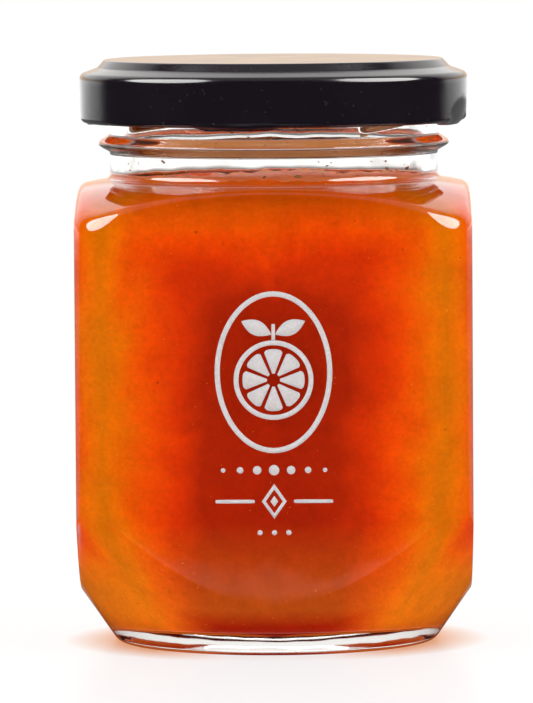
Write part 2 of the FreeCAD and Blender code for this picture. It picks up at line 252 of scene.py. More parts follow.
base_share = np.linspace(pole_share, 1, 22, endpoint=False)[:, None]
base_rows = (ring_inner * base_share, push_up * (1 - base_share ** 2))
outer_start = heel_start(0)
cornerness = (square_radius(turns, half_width, corner_radius) - half_width) / (corner_reach - half_width)
high_edge = shoulder_edge + (shoulder_corner_edge - shoulder_edge) * cornerness ** shoulder_edge_growth
body, slope, shoulder = body_rows(
    turns, 0, corner_radius, heel_edge, high_edge, outer_start, (14, 8, 26, 14))
foot_edge = neck_foot - neck_foot_drift * (1 + np.sin(turns)) / 2
foot_reach = neck_radius + foot_edge - crest_radius
foot_centre = (neck_radius + foot_edge,
               shoulder[1] + np.sqrt((shoulder[2] + foot_edge) ** 2 - foot_reach ** 2))
foot_slope = np.arctan2(foot_centre[1] - shoulder[1], foot_reach)
bead_share = np.linspace(0, 1, 20, endpoint=False)[:, None]
bead_rows = (neck_radius + (finish_radius - neck_radius) * bead_share
             + bead_reach * np.sin(np.pi * bead_share) ** bead_roundness,
             bead_bottom + bead_height * bead_share)
finish_start = bead_bottom + bead_height
finish_rows = run((finish_radius, finish_start), (finish_radius, rim_height - rim_edge), 70)
threads = thread_relief(turns[None, :], finish_rows[1])
outer_rows = [
    base_rows,
    run((ring_inner, 0), (core, 0), 3),
    bend((core, heel_radius), heel_radius, -np.pi / 2, -heel_flare, 9),
    *body,
    bend((shoulder[0], shoulder[1]), shoulder[2], slope, 0 * slope + foot_slope, 22),
    bend(foot_centre, foot_edge, np.pi + foot_slope, np.pi, 9),
    run((neck_radius, foot_centre[1]), (neck_radius, bead_bottom), 8),
    bead_rows,
    (finish_rows[0] + threads, finish_rows[1]),
    bend((finish_radius - rim_edge, rim_height - rim_edge), rim_edge, 0, np.pi / 2, 7),
    bend((bore_radius + rim_edge, rim_height - rim_edge), rim_edge, np.pi / 2, np.pi, 8),
]


def bore_profile(heights, inset_step):
    """Radius of the bore at a height: straight above its rounded foot, and on the foot the near side
    of a circle that is tangent to the bore and to the underside of the shoulder."""
    centre_height, radius = dome(wall - inset_step)
    bore = bore_radius + inset_step
    centre = bore + bore_foot
    height = centre_height + np.sqrt((radius + bore_foot) ** 2 - (centre - crest_radius) ** 2)
    below = np.clip(height - heights, 0, bore_foot)
    return centre - np.sqrt(bore_foot ** 2 - below ** 2), (centre, height)


def room_rows(turns, inset_step, top):
    """Rows of the jar's inside, from the middle of its floor up to the height top.

    inset_step moves every wall outward into the glass, so that a filling can reach into it.
    """
    inset = wall - inset_step
    floor = floor_height - inset_step
    start_radius, start_height = heel_start(inset)
    corner_run = start_radius + (floor - start_height) * np.tan(heel_flare)
    setback = floor_edge * np.tan((np.pi / 2 - heel_flare) / 2)
    floor_end = corner_run - setback
    heel = (corner_run + setback * np.sin(heel_flare), floor + setback * np.cos(heel_flare))
    share = np.linspace(pole_share, 1, 20, endpoint=False)[:, None]
    corner_edge = inner_heel_corner_edge + inner_heel_drift * np.cos(turns)
    low_edge = inner_heel_edge + (corner_edge - inner_heel_edge) * cornerness
    body, slope, shoulder = body_rows(
        turns, inset, inner_corner_radius + inset_step, low_edge, inner_shoulder_edge,
        heel, (6, 20, 24, 14))
    foot = bore_profile(np.zeros(1), inset_step)[1]
    foot_slope = np.arctan2(foot[1] - shoulder[1], foot[0] - shoulder[0])
    foot_start = foot[1] - bore_foot * np.sin(foot_slope)
    climb = np.linspace(0, 1, 26)[:, None]
    bore_heights = foot_start + (top - foot_start) * climb
    return [
        (floor_end * share, floor + 0 * share),
        bend((floor_end, floor + floor_edge), floor_edge, -np.pi / 2, -heel_flare, 12),
        *body,
        bend((shoulder[0], shoulder[1]), shoulder[2], slope, 0 * slope + foot_slope, 14),
        (bore_profile(bore_heights, inset_step)[0], bore_heights),
    ]


inner = room_rows(turns, 0.0, np.full(columns, rim_height - rim_edge))
inner_radii, inner_heights = stack(inner, columns)
outer_radii, outer_heights = stack(outer_rows, columns)
jar_glass = turned_surface(
    "jar_glass", turns,
    np.concatenate([outer_radii, inner_radii[::-1]]),
    np.concatenate([outer_heights, inner_heights[::-1]]))


def new_material(name):
    """Empty node material: itself, its nodes, its links and its output."""
    material = bpy.data.materials.new(name)
    material.use_nodes = True
    tree = material.node_tree
    tree.nodes.clear()
    output = tree.nodes.new("ShaderNodeOutputMaterial")
    return material, tree.nodes, tree.links, output


def math_node(nodes, links, operation, first, second=None):
    """One Math node; first and second are sockets or numbers."""
    node = nodes.new("ShaderNodeMath")
    node.operation = operation
    for index, value in enumerate((first, second)):
        if value is None:
            continue
        if isinstance(value, (int, float)):
            node.inputs[index].default_value = value
        else:
            links.new(value, node.inputs[index])
    return node.outputs[0]


def spread(nodes, links, value, low, high, to_low, to_high):
    """Straight map of value from low..high to to_low..to_high, held at both ends."""
    node = nodes.new("ShaderNodeMapRange")
    node.inputs["From Min"].default_value = low
    node.inputs["From Max"].default_value = high
    node.inputs["To Min"].default_value = to_low
    node.inputs["To Max"].default_value = to_high
    links.new(value, node.inputs["Value"])
    return node.outputs["Result"]


def own_place(nodes, links):
    """The object's own coordinates: the node, and its X, Y and Z apart."""
    place = nodes.new("ShaderNodeTexCoord")
    split = nodes.new("ShaderNodeSeparateXYZ")
    links.new(place.outputs["Object"], split.inputs["Vector"])
    return place, split


def noise(nodes, links, place, scale, detail=2.0, roughness=0.5, distortion=0.0):
    """Noise value of the object's own place, scale in cells a metre."""
    node = nodes.new("ShaderNodeTexNoise")
    node.inputs["Scale"].default_value = scale
    node.inputs["Detail"].default_value = detail
    node.inputs["Roughness"].default_value = roughness
    node.inputs["Distortion"].default_value = distortion
    links.new(place.outputs["Object"], node.inputs["Vector"])
    return node.outputs["Fac"]


def mix_shaders(nodes, links, share, first, second):
    """Mix of two shaders: the first at share 0, the second at share 1."""
    node = nodes.new("ShaderNodeMixShader")
    links.new(share, node.inputs["Fac"])
    links.new(first, node.inputs[1])
    links.new(second, node.inputs[2])
    return node.outputs["Shader"]


def relief(nodes, links, height, strength, distance):
    """Normal of a surface raised by height, as fine relief too small for the mesh."""
    bump = nodes.new("ShaderNodeBump")
    bump.inputs["Strength"].default_value = strength
    bump.inputs["Distance"].default_value = distance
    links.new(height, bump.inputs["Height"])
    return bump.outputs["Normal"]


def glass_material():
    """Clear glass with a trace of green and long soft ripples. It is set to mirror less in the middle
    of the shoulder, so that the compote shows there.

    Lamp light and light scattered off the compote pass straight through it; what the eye sees
    is bent as glass bends it.
    """
    dull_low, dull_high, dull_side, dull_mirror = 0.0690, 0.0755, 0.0260, 0.12
    material, nodes, links, output = new_material("clear_glass")
    glass = nodes.new("ShaderNodeBsdfPrincipled")
    glass.inputs["Base Color"].default_value = (0.992, 0.990, 0.978, 1)
    glass.inputs["Roughness"].default_value = 0.0
    glass.inputs["IOR"].default_value = 1.5
    glass.inputs["Transmission Weight"].default_value = 1.0
    place, split = own_place(nodes, links)
    on_shoulder = math_node(nodes, links, "MULTIPLY",
                            spread(nodes, links, split.outputs["Z"], dull_low, dull_low + 0.0010, 0.0, 1.0),
                            spread(nodes, links, split.outputs["Z"], dull_high - 0.0015, dull_high, 1.0, 0.0))
    central = spread(nodes, links, math_node(nodes, links, "ABSOLUTE", split.outputs["X"]),
                     dull_side - 0.0070, dull_side, 1.0, 0.0)
    dulled = math_node(nodes, links, "MULTIPLY", on_shoulder, central)
    links.new(spread(nodes, links, dulled, 0.0, 1.0, 0.5, dull_mirror), glass.inputs["Specular IOR Level"])
    ripples = noise(nodes, links, place, 110, 1.5)
    links.new(relief(nodes, links, ripples, 0.25, 0.0004), glass.inputs["Normal"])
    clear = nodes.new("ShaderNodeBsdfTransparent")
    clear.inputs["Color"].default_value = (0.985, 0.985, 0.97, 1)
    path = nodes.new("ShaderNodeLightPath")
    straight = math_node(nodes, links, "MAXIMUM",
                         path.outputs["Is Shadow Ray"], path.outputs["Is Diffuse Ray"])
    links.new(mix_shaders(nodes, links, straight, glass.outputs["BSDF"], clear.outputs["BSDF"]),
              output.inputs["Surface"])
    return material


jar_glass.data.materials.append(glass_material())
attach(jar_glass, "root")
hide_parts("jar")


# ---- The compote ----
# Thick strained fruit cooked down to a translucent orange pulp. It wets the glass all over, so it
# reaches a hair into the wall, and it was left with a gently uneven top under the neck.
compote_reach = 0.00008
fill_level = shoulder_height - 0.0006
contact_radius = bore_radius
contact_climb = 0.0004
contact_lumpiness = 1.5
wetting_run = 0.0009
top_pole_share = 0.03
far_edge_across = np.array([-24.0, -12.5, -10.5, -5.0, 6.0, 11.0, 17.0, 21.5, 23.5]) * 0.001
far_edge_height = np.array([71.0, 71.15, 71.75, 72.05, 72.4, 71.95, 72.5, 72.6, 71.6]) * 0.001


def compote_surface(x, y):
    """Level of the compote: two long waves at the near side, blended with an S-curve into the line
    that the pulp was left at against the far wall."""
    long_wave = 0.00025 * np.cos(2 * np.pi * (x / 0.047 + 0.10)) * np.cos(2 * np.pi * (y / 0.087 + 0.35))
    short_wave = 0.00015 * np.cos(2 * np.pi * (x / 0.0255 + 0.60)) * np.cos(2 * np.pi * (y / 0.032 + 0.15))
    near = fill_level + long_wave + short_wave
    blend_start, blend_run = -0.008, 0.022
    share = np.clip((y - blend_start) / blend_run, 0, 1)
    share = share * share * (3 - 2 * share)
    return near + (np.interp(x, far_edge_across, far_edge_height) - near) * share


def compote_lumps(x, y):
    """Small lumps of pulp: three crossed sine ripples of a few millimetres, added together."""
    return (0.00010 * np.sin(x * 1900 + 2 * np.sin(y * 700))
            + 0.00008 * np.sin(y * 2300 + 1.5 * np.sin(x * 900))
            + 0.00005 * np.sin((x + y) * 4100))


contact_x = contact_radius * np.cos(turns)
contact_y = contact_radius * np.sin(turns)
contact_level = compote_surface(contact_x, contact_y)
contact = contact_level + contact_lumpiness * compote_lumps(contact_x, contact_y) + contact_climb
side_radii, side_heights = stack(room_rows(turns, compote_reach, contact), columns)
top_share = np.linspace(1, top_pole_share, 48)[1:, None]
top_radii = side_radii[-1] * top_share
top_x = top_radii * np.cos(turns)
top_y = top_radii * np.sin(turns)
wetting = np.exp(-(side_radii[-1] - top_radii) / wetting_run)
top_heights = (compote_surface(top_x, top_y) + compote_lumps(top_x, top_y) * (1 - wetting)
               + wetting * (contact - contact_level))
compote = turned_surface(
    "compote_body", turns,
    np.concatenate([side_radii, top_radii]),
    np.concatenate([side_heights, top_heights]),
    np.repeat([0, 1], [len(side_radii) - 1, len(top_radii)]))


def ramp(nodes, stops):
    """Colour ramp with the given stops of position and linear colour."""
    node = nodes.new("ShaderNodeValToRGB")
    elements = node.color_ramp.elements
    while len(elements) > 1:
        elements.remove(elements[-1])
    elements[0].position = stops[0][0]
    elements[0].color = (*stops[0][1], 1)
    for position, colour in stops[1:]:
        element = elements.new(position)
        element.color = (*colour, 1)
    return node


def blend(nodes, links, share, first, second):
    """Mix of two colours; each is a socket or a linear colour."""
    node = nodes.new("ShaderNodeMix")
    node.data_type = "RGBA"
    for name, value in (("A", first), ("B", second)):
        socket = [entry for entry in node.inputs if entry.name == name and entry.type == "RGBA"][0]
        if isinstance(value, tuple):
            socket.default_value = (*value, 1)
        else:
            links.new(value, socket)
    links.new(share, node.inputs["Factor"])
    return [entry for entry in node.outputs if entry.type == "RGBA"][0]


def mottled(nodes, links, place, colour):
    """The colour with grain of half a millimetre, cloudy patches, pale flecks and a few dark ones."""
    grain = spread(nodes, links, noise(nodes, links, place, 1500, 3, 0.7), 0.25, 0.75, -0.10, 0.10)
    cloud = spread(nodes, links, noise(nodes, links, place, 240, 3, 0.6, 0.4), 0.3, 0.7, -0.09, 0.09)
    weight = math_node(nodes, links, "ADD", math_node(nodes, links, "ADD", grain, cloud), 1.0)
    shade = nodes.new("ShaderNodeHueSaturation")
    links.new(colour, shade.inputs["Color"])
    links.new(weight, shade.inputs["Value"])
    flecks = spread(nodes, links, noise(nodes, links, place, 2300, 1, 0.4), 0.74, 0.80, 0.0, 0.35)
    pale = blend(nodes, links, flecks, shade.outputs["Color"], (0.90, 0.42, 0.10))
    seeds = spread(nodes, links, noise(nodes, links, place, 900, 1, 0.4), 0.80, 0.83, 0.0, 0.5)
    return blend(nodes, links, seeds, pale, (0.10, 0.020, 0.004))


def compote_material():
    """Fruit pulp against the glass. Its colour is painted with the light that soaks through the pulp:
    a painted deep red shade behind the middle of each face, where it is thickest, a painted orange
    glow towards the corners, the flared heel and the upper body, and a painted brownish shade right
    under the shoulder. Part of the look is a painted glow, given as emission.

    Where the pulp is met at a very flat angle from inside the glass, the glass's own skin mirrors
    instead. That skin is faded out below the shoulder, where it would mirror only stray spots.
    """
    full_depth = 0.0282
    heel_low, heel_high = 0.010, 0.034
    skin_end = 0.064
    material, nodes, links, output = new_material("fruit_pulp")
    pulp = nodes.new("ShaderNodeBsdfPrincipled")
    place, split = own_place(nodes, links)
    aside = math_node(nodes, links, "ABSOLUTE", split.outputs["X"])
    ahead = math_node(nodes, links, "ABSOLUTE", split.outputs["Y"])
    # Painted light: 0 at the middle of each face gives a painted deep red shade, 1 at the corners a painted
    # orange glow; the heel of the side faces and the upper body are raised towards the glow.
    leaning = math_node(nodes, links, "DIVIDE",
                        math_node(nodes, links, "MINIMUM", aside, ahead),
                        math_node(nodes, links, "MAXIMUM", aside, ahead))
    across = math_node(nodes, links, "MULTIPLY", leaning, full_depth)
    drift = noise(nodes, links, place, 75, 4, 0.6, 0.6)
    wander = spread(nodes, links, drift, 0.0, 1.0, -0.005, 0.005)
    painted_top_glow = spread(nodes, links, split.outputs["Z"], 0.045, 0.066, 0.0, 0.0205)
    heel = math_node(nodes, links, "MULTIPLY",
                     spread(nodes, links, split.outputs["Z"], heel_low, heel_high, 0.0290, 0.0),
                     spread(nodes, links, math_node(nodes, links, "SUBTRACT", aside, ahead),
                            0.0, 0.003, 0.0, 1.0))
    across = math_node(nodes, links, "MAXIMUM", across, heel)
    rounded = nodes.new("ShaderNodeMath")
    rounded.operation = "SMOOTH_MAX"
    links.new(across, rounded.inputs[0])
    links.new(painted_top_glow, rounded.inputs[1])
    rounded.inputs[2].default_value = 0.006
    thin = math_node(nodes, links, "ADD", rounded.outputs[0], wander)
    share = math_node(nodes, links, "DIVIDE", thin, full_depth)
    depth = ramp(nodes, [
        (0.00, (0.390, 0.0140, 0.0010)),
        (0.36, (0.400, 0.0160, 0.0010)),
        (0.54, (0.660, 0.0310, 0.0008)),
        (0.68, (0.790, 0.0600, 0.0006)),
        (0.79, (0.800, 0.0960, 0.0006)),
        (0.88, (0.780, 0.1380, 0.0006)),
        (1.00, (0.660, 0.1450, 0.0008)),
    ])
    links.new(share, depth.inputs["Fac"])
    flat = nodes.new("ShaderNodeFresnel")
    flat.inputs["IOR"].default_value = 1.445 / 1.52
    skin = math_node(nodes, links, "MULTIPLY", flat.outputs["Fac"],
                     spread(nodes, links, split.outputs["Z"], skin_end - 0.006, skin_end, 1.0, 0.0))
    links.new(skin, pulp.inputs["Metallic"])
    # Painted glow: low down, the heel is blended towards orange.
    painted_heel_glow = spread(nodes, links, split.outputs["Z"], 0.008, 0.021, 0.52, 0.0)
    kept = math_node(nodes, links, "MAXIMUM",
                     spread(nodes, links, split.outputs["Z"], 0.0052, 0.0080, 0.0, 1.0),
                     spread(nodes, links, across, 0.010, 0.019, 0.0, 1.0))
    painted_glow_colour = blend(nodes, links, spread(nodes, links, across, 0.012, 0.022, 0.0, 1.0),
                        (0.60, 0.130, 0.0100), (0.95, 0.230, 0.0080))
    lit = blend(nodes, links, math_node(nodes, links, "MULTIPLY", painted_heel_glow, kept),
                depth.outputs["Color"], painted_glow_colour)
    # Painted shade: browner right under the shoulder.
    lit = blend(nodes, links, spread(nodes, links, split.outputs["Z"], 0.0655, 0.0705, 0.0, 0.75),
                lit, (0.47, 0.070, 0.0008))
    colour = mottled(nodes, links, place, lit)
    # The diffuse colour is scaled to 0.62; the rest of the look is the painted glow below.
    body = nodes.new("ShaderNodeHueSaturation")
    body.inputs["Value"].default_value = 0.62
    links.new(colour, body.inputs["Color"])
    links.new(blend(nodes, links, skin, body.outputs["Color"], (0.97, 0.97, 0.95)),
              pulp.inputs["Base Color"])
    # Painted glow: the same colour as emission at 0.38, left out where the glass's skin mirrors.
    painted_glow_share = math_node(nodes, links, "SUBTRACT", 1.0, skin)
    links.new(colour, pulp.inputs["Emission Color"])
    links.new(math_node(nodes, links, "MULTIPLY", painted_glow_share, 0.38), pulp.inputs["Emission Strength"])
    pulp.inputs["Roughness"].default_value = 0.03
    pulp.inputs["IOR"].default_value = 1.38
    pulp.inputs["Specular IOR Level"].default_value = 0.0
    links.new(pulp.outputs["BSDF"], output.inputs["Surface"])
    return material


def compote_top_material():
    """The open top of the pulp: wet and lumpy, with a painted glow, given as emission, for light from
    below through the orange body, and milky where it is looked down on. The milky part is a look
    only, for its pale far strip."""
    material, nodes, links, output = new_material("wet_pulp_top")
    pulp = nodes.new("ShaderNodeBsdfPrincipled")
    place = nodes.new("ShaderNodeTexCoord")
    hue = ramp(nodes, [
        (0.30, (0.42, 0.035, 0.0015)),
        (0.55, (0.56, 0.070, 0.0020)),
        (0.75, (0.68, 0.140, 0.0060)),
    ])
    links.new(noise(nodes, links, place, 210, 4, 0.6, 0.5), hue.inputs["Fac"])
    flatness = nodes.new("ShaderNodeLayerWeight")
    flatness.inputs["Blend"].default_value = 0.5
    milky = spread(nodes, links, flatness.outputs["Facing"], 0.55, 0.90, 0.85, 0.0)
    colour = mottled(nodes, links, place,
                     blend(nodes, links, milky, hue.outputs["Color"], (0.50, 0.24, 0.090)))
    links.new(colour, pulp.inputs["Base Color"])
    # Painted glow: the same colour as emission, for light coming up through the body.
    links.new(colour, pulp.inputs["Emission Color"])
    pulp.inputs["Emission Strength"].default_value = 0.6
    pulp.inputs["Roughness"].default_value = 0.28
    pulp.inputs["IOR"].default_value = 1.38
    pulp.inputs["Specular IOR Level"].default_value = 0.1
    links.new(pulp.outputs["BSDF"], output.inputs["Surface"])
    return material


compote.data.materials.append(compote_material())
compote.data.materials.append(compote_top_material())
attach(compote, "root")
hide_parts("compote")


# ---- The lid ----
# A twist-off cap pressed from thin tinplate and lacquered black. Its rolled edge is flattened into
# four lugs that hook under the thread of the glass, and each lug leaves a flat in the skirt.
lid_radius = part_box("lid")[1].x
lid_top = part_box("lid")[1].z
sheet = 0.0003
shoulder_width = 0.0039
flat_rim = 0.0030
panel_radius = lid_radius - shoulder_width
sag_radius = panel_radius - flat_rim
panel_sag = 0.00025
step_drop = 0.00125
step_run = 0.0011
shoulder_fall = 0.0010
press_edge = 0.0006
skirt_edge = 0.0011
skirt_taper = 0.0002
curl_radius = 0.0007
curl_line = lid_radius - skirt_taper - curl_radius
curl_lift = 0.0004
curl_height = lid_bottom + curl_lift + curl_radius
curl_turn = np.radians(250)
lug_height = 0.0011
lug_hold = 0.0012
lug_inner = finish_radius + thread_reach - lug_hold
lug_turn = np.radians(26.0)
first_lug = np.radians(-24.0) - np.pi / 2
lug_ramp = np.radians(3.0)
lug_lean = 0.0002
flat_depth = 0.00055
flat_height = 0.0030
flat_half_width = 0.0068
skirt_depth = 0.0012


def rounded_run(corners, radii, count):
    """Points along straight runs between corners, with a tangent arc of its radius at each inner
    corner; every run and every arc gets count points."""
    points = []
    cursor = corners[0]
    share = np.linspace(0, 1, count, endpoint=False)[:, None]
    for before, corner, after, radius in zip(corners[:-2], corners[1:-1], corners[2:], radii):
        incoming = (before - corner) / np.linalg.norm(before - corner)
        outgoing = (after - corner) / np.linalg.norm(after - corner)
        half_angle = np.arccos(incoming @ outgoing) / 2
        start = corner + incoming * radius / np.tan(half_angle)
        middle = (incoming + outgoing) / np.linalg.norm(incoming + outgoing)
        centre = corner + middle * radius / np.sin(half_angle)
        first = np.arctan2(*(start - centre)[::-1])
        swing = np.pi - 2 * half_angle
        side = np.sign(outgoing[0] * incoming[1] - outgoing[1] * incoming[0])
        turn = first + side * swing * share
        points.append(cursor + (start - cursor) * share)
        points.append(centre + radius * np.concatenate([np.cos(turn), np.sin(turn)], axis=1))
        cursor = corner + outgoing * radius / np.tan(half_angle)
    points.append(cursor + (corners[-1] - cursor) * share)
    return np.concatenate(points)


def resampled(points, count):
    """The same open line with count points evenly along its length."""
    length = np.concatenate([[0], np.cumsum(np.linalg.norm(np.diff(points, axis=0), axis=1))])
    wanted = np.linspace(0, length[-1], count)
    return np.stack([np.interp(wanted, length, points[:, axis]) for axis in (0, 1)], axis=1)


def pressed_shell(inset):
    """Profile of the cap from the middle of its panel to the foot of its skirt, at a depth in the sheet.

    The panel sags as a parabola inside its flat rim; then come the step, the sloping shoulder and
    the skirt. The same line moved along its own normals gives the inside of the sheet.
    """
    share = np.linspace(top_pole_share, 1, 26, endpoint=False)
    panel = np.stack([sag_radius * share, lid_top - panel_sag * (1 - share ** 2)], axis=1)
    step_foot = np.array([panel_radius + step_run, lid_top - step_drop])
    edge = rounded_run(
        [np.array([sag_radius, lid_top]), np.array([panel_radius, lid_top]), step_foot,
         np.array([lid_radius, lid_top - step_drop - shoulder_fall]),
         np.array([lid_radius - skirt_taper, curl_height])],
        (press_edge, press_edge, skirt_edge), 9)
    skirt = np.linspace(0, 1, 15)[1:, None]
    last = edge[-1]
    edge = np.concatenate([edge, last + (np.array([lid_radius - skirt_taper, curl_height]) - last) * skirt])
    line = np.concatenate([panel, edge])
    along = np.gradient(line, axis=0)
    normal = np.stack([-along[:, 1], along[:, 0]], axis=1)
    normal /= np.linalg.norm(normal, axis=1)[:, None]
    return line - normal * inset


def lug_share(turns):
    """1 on the four lugs and 0 between them, with an S-shaped ramp of three degrees at both ends."""
    share = np.zeros(len(turns))
    for quarter in range(4):
        middle = first_lug + lug_turn / 2 + quarter * np.pi / 2
        off = np.abs((turns - middle + np.pi) % (2 * np.pi) - np.pi)
        inside = np.clip((lug_turn / 2 - off) / lug_ramp, 0, 1)
        share = np.maximum(share, inside * inside * (3 - 2 * inside))
    return share


def skirt_flat(turns, heights):
    """Depth of the flats that the lugs leave in the skirt.

    Each is a slanted facet inside half an ellipse: deepest at the curl, fading in a straight line
    to nothing at the ellipse.
    """
    depth = np.zeros(np.broadcast(turns, heights).shape)
    for quarter in range(4):
        middle = first_lug + lug_turn / 2 + quarter * np.pi / 2
        across = ((turns - middle + np.pi) % (2 * np.pi) - np.pi) * lid_radius / flat_half_width
        crown = curl_height + flat_height * np.sqrt(np.clip(1 - across ** 2, 0, 1))
        depth = np.maximum(depth, np.clip(crown - heights, 0, flat_height) / flat_height)
    return depth * flat_depth


lid_turns = np.linspace(-np.pi, np.pi, 360, endpoint=False)
outside = pressed_shell(0)
inside = pressed_shell(sheet)
roll_turn = np.linspace(0, -curl_turn, 30)
roll = np.stack([curl_line + curl_radius * np.cos(roll_turn),
                 curl_height + curl_radius * np.sin(roll_turn)], axis=1)
half_lug = lug_height / 2
nose_turn = np.linspace(-np.pi / 2, -1.5 * np.pi, 20)
nose = np.stack([lug_inner + half_lug + half_lug * np.cos(nose_turn),
                 lid_bottom + half_lug + half_lug * np.sin(nose_turn)], axis=1)
hook = resampled(np.concatenate([
    [[lid_radius - skirt_taper, curl_height]],
    [[lid_radius - skirt_taper - lug_lean, lid_bottom + half_lug]],
    [[curl_line, lid_bottom]],
    nose,
    [[curl_line - lug_lean, lid_bottom + lug_height]]]), len(roll))
share = lug_share(lid_turns)
roll_rows = roll[1:, None, :] + (hook - roll)[1:, None, :] * share[None, :, None]
lid_rows = np.concatenate([
    np.repeat(outside[:, None, :], len(lid_turns), axis=1),
    roll_rows,
    np.repeat(inside[::-1][1:, None, :], len(lid_turns), axis=1)])
lid_radii = lid_rows[..., 0] - np.where(
    lid_rows[..., 0] > lid_radius - skirt_depth, skirt_flat(lid_turns, lid_rows[..., 1]), 0)
pressed_lid = turned_surface(
    "pressed_lid", lid_turns, lid_radii[::-1], lid_rows[::-1, :, 1],
    np.repeat([1, 0], [len(inside), len(lid_rows) - 1 - len(inside)]))


def lacquer_material():
    """Black stoving lacquer: glossy, with a faint orange peel, dust on the skirt and a hint of violet."""
    material, nodes, links, output = new_material("black_lacquer")
    lacquer = nodes.new("ShaderNodeBsdfPrincipled")
    lacquer.inputs["IOR"].default_value = 1.52
    place = nodes.new("ShaderNodeTexCoord")
    drift = noise(nodes, links, place, 130)
    specks = spread(nodes, links, noise(nodes, links, place, 1400, 3), 0.66, 0.74, 0.0, 1.0)
    film = math_node(nodes, links, "MULTIPLY", specks, drift)
    links.new(blend(nodes, links, film, (0.0075, 0.0052, 0.0088), (0.05, 0.047, 0.05)),
              lacquer.inputs["Base Color"])
    links.new(spread(nodes, links, drift, 0.0, 1.0, 0.10, 0.20), lacquer.inputs["Roughness"])
    links.new(relief(nodes, links, noise(nodes, links, place, 700, 1), 0.12, 0.00004),
              lacquer.inputs["Normal"])
    links.new(lacquer.outputs["BSDF"], output.inputs["Surface"])
    return material


def inside_lacquer_material():
    """Clear gold lacquer over tinplate, as the inside of a food cap has, with faint streaks."""
    material, nodes, links, output = new_material("gold_lacquer")
    lacquer = nodes.new("ShaderNodeBsdfPrincipled")
    place = nodes.new("ShaderNodeTexCoord")
    streaks = noise(nodes, links, place, 300, 3, 0.6)
    links.new(blend(nodes, links, streaks, (0.46, 0.26, 0.10), (0.62, 0.40, 0.20)),
              lacquer.inputs["Base Color"])
    lacquer.inputs["Roughness"].default_value = 0.35
    lacquer.inputs["Metallic"].default_value = 0.2
    links.new(lacquer.outputs["BSDF"], output.inputs["Surface"])
    return material


pressed_lid.data.materials.append(lacquer_material())
pressed_lid.data.materials.append(inside_lacquer_material())
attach(pressed_lid, "root")
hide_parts("lid")


# ---- The printed design ----
# White ceramic enamel, screen-printed on the front panel and fired into the glass: a cut fruit with
# two leaves in an oval, a row of dots, and a diamond between two rules.
enamel_front = -half_width + 0.00001
enamel_back = -half_width + 0.00005


def oval(across, high, width, height, count=64):
    """Points of an ellipse about a middle, in millimetres across and up the panel."""
    turn = np.linspace(0, 2 * np.pi, count, endpoint=False)
    return np.stack([across + width * np.cos(turn), high + height * np.sin(turn)], axis=1)


def leaf(across, high, length, width, turn):
    """Pointed leaf: a sine swell to both sides of a line that leaves its foot at a turn."""
    share = np.linspace(0, 1, 24, endpoint=False)
    swell = width * np.sin(np.pi * share) ** 0.9
    along = np.concatenate([share * length, (1 - share) * length])
    aside = np.concatenate([-swell, swell])
    return np.stack([across + along * np.cos(turn) - aside * np.sin(turn),
                     high + along * np.sin(turn) + aside * np.cos(turn)], axis=1)


def segment(high, middle, half_turn, low, far):
    """Wedge of a cut fruit: an arc at the far radius, drawn in at its ends by a sixth power, and a
    narrower arc back at the low radius."""
    drawn_in, narrowing = 0.35, 0.6
    turn = np.linspace(-1, 1, 14)
    rim = far - drawn_in * np.abs(turn) ** 6
    out, back = middle + half_turn * turn, middle - narrowing * half_turn * turn
    outer = np.stack([rim * np.cos(out), rim * np.sin(out)], axis=1)
    tip = np.stack([low * np.cos(back), low * np.sin(back)], axis=1)
    return np.concatenate([outer, tip]) + [0, high]


def bar(across, high, half_length, half_thickness):
    """Rule with round ends: a superellipse of power eight."""
    turn = np.linspace(0, 2 * np.pi, 48, endpoint=False)
    return np.stack([across + half_length * np.sign(np.cos(turn)) * np.abs(np.cos(turn)) ** 0.25,
                     high + half_thickness * np.sign(np.sin(turn)) * np.abs(np.sin(turn)) ** 0.25], axis=1)


def plates(name, shapes):
    """One mesh of thin closed plates. A shape is its outline alone, or its outline and the outline of
    the hole in it; front, back and edges are joined point by point."""
    points, quads, triangles, base = [], [], [], 0
    for outline, hole in shapes:
        count = len(outline)
        here = np.arange(count)
        after = (here + 1) % count
        if hole is None:
            hole = outline.mean(axis=0)[None, :]
        rings = [(outline, enamel_front), (outline, enamel_back), (hole, enamel_back), (hole, enamel_front)]
        for line, depth in rings:
            level = np.full(len(line), depth)
            points.append(np.stack([line[:, 0] * 0.001, level, line[:, 1] * 0.001], axis=1))
        wall = np.stack([here, here + count, after + count, after], axis=1)
        quads.append(base + wall)
        if len(hole) == 1:
            front, back = np.full(count, 2 * count + 1), np.full(count, 2 * count)
            triangles.append(base + np.stack([after, front, here], axis=1))
            triangles.append(base + np.stack([here + count, back, after + count], axis=1))
            base += 2 * count + 2
        else:
            for ring in (1, 2, 3):
                follow = (ring + 1) % 4
                quads.append(base + np.stack([here + ring * count, here + follow * count,
                                              after + follow * count, after + ring * count], axis=1))
            base += 4 * count
    return mesh_object(name, np.concatenate(points), [np.concatenate(quads), np.concatenate(triangles)])


